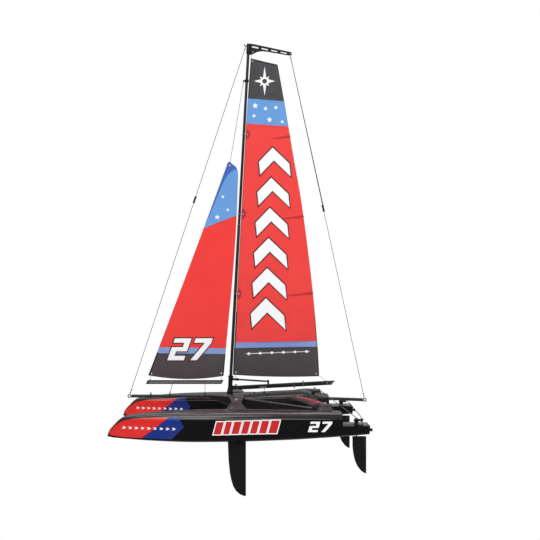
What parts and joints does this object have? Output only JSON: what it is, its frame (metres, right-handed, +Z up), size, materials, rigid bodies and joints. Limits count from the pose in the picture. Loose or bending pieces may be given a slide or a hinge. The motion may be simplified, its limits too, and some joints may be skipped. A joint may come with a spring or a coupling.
{
  "type": "rc catamaran sailboat",
  "caption": "Radio-controlled micro racing catamaran sailboat, 400 mm hulls, black with red, blue and black sails, about 0.72 m tall.",
  "frame": {"origin": "centre of the footprint at the level of the daggerboard tips, which are the lowest points", "axes": "+X forward to the bow, +Y to port, +Z up along the rig"},
  "size_m": [0.4116, 0.2402, 0.7186],
  "materials": {
    "deck_black": "gloss moulded plastic",
    "foil_black": "satin moulded plastic",
    "beam_black": "semi-gloss moulded plastic",
    "pod_black": "semi-gloss moulded plastic",
    "fitting_black": "moulded nylon",
    "carbon_tube": "carbon fibre tube",
    "boom_carbon": "carbon fibre strip",
    "clear_white": "white nylon",
    "screw_steel": "stainless steel",
    "brass_tube": "drawn brass",
    "sail_film": "printed polyester sail film",
    "batten_film": "sail reinforcing tape",
    "cord_grey": "braided cord",
    "cord_dark": "braided cord",
    "rubber_black": "soft rubber",
    "cell_wrap": "shrink wrapped cells",
    "servo_blue": "moulded servo case",
    "receiver_case": "moulded receiver case",
    "horn_white": "moulded nylon",
    "slider_red": "moulded plastic",
    "hull_black": "high gloss moulded plastic"
  },
  "bodies": {
    "boat": {"port_hull": "hull_black", "port_deck": "deck_black", "starboard_hull": "hull_black", "starboard_deck": "deck_black", "port_daggerboard": "foil_black", "starboard_daggerboard": "foil_black", "front_beam": "beam_black", "rear_beam": "beam_black", "diagonal_struts": "carbon_tube", "pod_tub": "pod_black", "pod_hatch": "pod_black", "hatch_gasket": "rubber_black", "hatch_screws": "screw_steel", "beam_screws": "screw_steel", "bowsprit_tube": "carbon_tube", "bowsprit_eye": "clear_white", "stern_tube": "carbon_tube", "stern_eye": "clear_white", "mast_step": "fitting_black", "lower_mast": "carbon_tube", "upper_mast": "carbon_tube", "mast_ferrule": "screw_steel", "masthead_crane": "fitting_black", "jib_hoist_ring": "fitting_black", "forestay": "cord_grey", "backstay": "cord_dark", "rudder_tubes": "brass_tube", "drain_plugs": "rubber_black", "battery_tray": "fitting_black", "battery_cells": "cell_wrap", "receiver": "receiver_case", "sail_servo": "servo_blue", "rudder_servo": "servo_blue", "switch_body": "fitting_black", "sheet_fairleads": "clear_white", "main_sheet": "cord_grey", "jib_sheet": "cord_grey"},
    "main_rig": {"gooseneck": "fitting_black", "main_boom": "boom_carbon", "vang_strut": "fitting_black", "mainsail": "sail_film", "sail_battens": "batten_film", "luff_rings": "cord_grey", "sail_ties": "cord_grey"},
    "jib_rig": {"jib_boom": "boom_carbon", "jib_sail": "sail_film", "jib_rigging": "cord_grey"},
    "port_rudder": {"port_rudder_blade": "foil_black", "port_rudder_stock": "screw_steel", "port_tiller": "fitting_black"},
    "starboard_rudder": {"starboard_rudder_blade": "foil_black", "starboard_rudder_stock": "screw_steel", "starboard_tiller": "fitting_black"},
    "tie_rod": {"tie_rod": "screw_steel"},
    "servo_horn": {"rudder_servo_horn": "horn_white"},
    "pushrod": {"rudder_pushrod": "screw_steel"},
    "sheet_arm": {"sail_servo_arm": "horn_white"},
    "switch_slider": {"switch_slider": "slider_red"},
    "forestay_bowsie": {"forestay_bowsie": "fitting_black"},
    "backstay_bowsie": {"backstay_bowsie": "fitting_black"}
  },
  "joints": [
    {"name": "boom_swing", "type": "hinge", "parent": "boat", "child": "main_rig", "pos_m": [0.01878, 0, 0.1464], "axis": [-0.0541, 0, 0.9985], "range_deg": [-70, 70]},
    {"name": "jib_swing", "type": "hinge", "parent": "boat", "child": "jib_rig", "pos_m": [0.11718, 0, 0.141], "axis": [-0.228, 0, 0.9737], "range_deg": [-60, 60]},
    {"name": "port_rudder_turn", "type": "hinge", "parent": "boat", "child": "port_rudder", "pos_m": [-0.17552, 0.098, 0.104], "axis": [0, 0, 1], "range_deg": [-35, 35]},
    {"name": "starboard_rudder_turn", "type": "hinge", "parent": "boat", "child": "starboard_rudder", "pos_m": [-0.17552, -0.098, 0.104], "axis": [0, 0, 1], "range_deg": [-35, 35]},
    {"name": "tie_rod_pivot", "type": "hinge", "parent": "port_rudder", "child": "tie_rod", "pos_m": [-0.18262, 0.098, 0.117], "axis": [0, 0, 1], "range_deg": [-35, 35]},
    {"name": "servo_horn_turn", "type": "hinge", "parent": "boat", "child": "servo_horn", "pos_m": [-0.11722, 0.011, 0.144], "axis": [0, 0, 1], "range_deg": [-35, 35]},
    {"name": "pushrod_pivot", "type": "hinge", "parent": "port_rudder", "child": "pushrod", "pos_m": [-0.18522, 0.0929, 0.116], "axis": [0, 0, 1], "range_deg": [-35, 35]},
    {"name": "sheet_arm_turn", "type": "hinge", "parent": "boat", "child": "sheet_arm", "pos_m": [-0.07422, -0.002, 0.134], "axis": [0, 0, 1], "range_deg": [-50, 50]},
    {"name": "power_switch_slide", "type": "slide", "parent": "boat", "child": "switch_slider", "axis": [1, 0, 0], "range_m": [0, 0.0038]},
    {"name": "forestay_bowsie_slide", "type": "slide", "parent": "boat", "child": "forestay_bowsie", "axis": [-0.3164, 0, 0.9486], "range_m": [-0.015, 0.015]},
    {"name": "backstay_bowsie_slide", "type": "slide", "parent": "boat", "child": "backstay_bowsie", "axis": [0.2113, 0, 0.9774], "range_m": [-0.015, 0.015]}
  ],
  "couplings": [
    {"joint": "starboard_rudder_turn", "follows": "port_rudder_turn", "ratio": 1},
    {"joint": "tie_rod_pivot", "follows": "port_rudder_turn", "ratio": -1},
    {"joint": "servo_horn_turn", "follows": "port_rudder_turn", "ratio": 1},
    {"joint": "pushrod_pivot", "follows": "port_rudder_turn", "ratio": -1}
  ]
}
